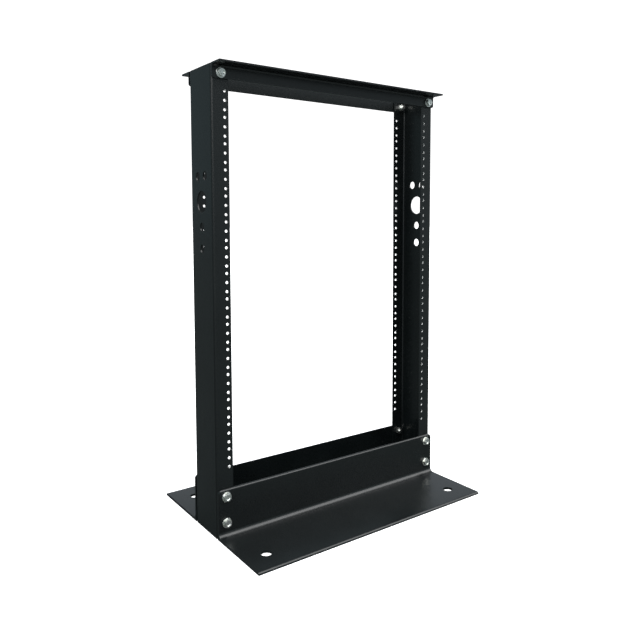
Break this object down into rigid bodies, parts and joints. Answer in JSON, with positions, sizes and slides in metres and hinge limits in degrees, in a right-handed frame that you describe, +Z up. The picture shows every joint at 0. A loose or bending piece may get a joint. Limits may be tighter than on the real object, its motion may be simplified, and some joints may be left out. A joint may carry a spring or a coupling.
{
  "type": "two post open frame rack",
  "caption": "Floor standing open frame rack: channel posts with rows of equipment holes, angles across the top, and wide base angles with floor anchor holes.",
  "frame": {"origin": "on the floor, in the middle of the base", "axes": "+X to the rack's right seen from the front, +Y to its rear, +Z up"},
  "size_m": [0.5144, 0.381, 0.8255],
  "materials": {
    "powder_coat": "black satin powder coat",
    "zinc": "bright zinc plate"
  },
  "bodies": {
    "root": {"post_left": "powder_coat", "post_right": "powder_coat", "top_angle_front": "powder_coat", "top_angle_rear": "powder_coat", "base_angle_front": "powder_coat", "base_angle_rear": "powder_coat", "bolt_front_left_top": "zinc", "washer_front_left_top": "zinc", "nut_front_left_top": "zinc", "bolt_front_left_base_upper": "zinc", "washer_front_left_base_upper": "zinc", "nut_front_left_base_upper": "zinc", "bolt_front_left_base_lower": "zinc", "washer_front_left_base_lower": "zinc", "nut_front_left_base_lower": "zinc", "bolt_front_right_top": "zinc", "washer_front_right_top": "zinc", "nut_front_right_top": "zinc", "bolt_front_right_base_upper": "zinc", "washer_front_right_base_upper": "zinc", "nut_front_right_base_upper": "zinc", "bolt_front_right_base_lower": "zinc", "washer_front_right_base_lower": "zinc", "nut_front_right_base_lower": "zinc", "bolt_rear_left_top": "zinc", "washer_rear_left_top": "zinc", "nut_rear_left_top": "zinc", "bolt_rear_left_base_upper": "zinc", "washer_rear_left_base_upper": "zinc", "nut_rear_left_base_upper": "zinc", "bolt_rear_left_base_lower": "zinc", "washer_rear_left_base_lower": "zinc", "nut_rear_left_base_lower": "zinc", "bolt_rear_right_top": "zinc", "washer_rear_right_top": "zinc", "nut_rear_right_top": "zinc", "bolt_rear_right_base_upper": "zinc", "washer_rear_right_base_upper": "zinc", "nut_rear_right_base_upper": "zinc", "bolt_rear_right_base_lower": "zinc", "washer_rear_right_base_lower": "zinc", "nut_rear_right_base_lower": "zinc"}
  },
  "joints": []
}
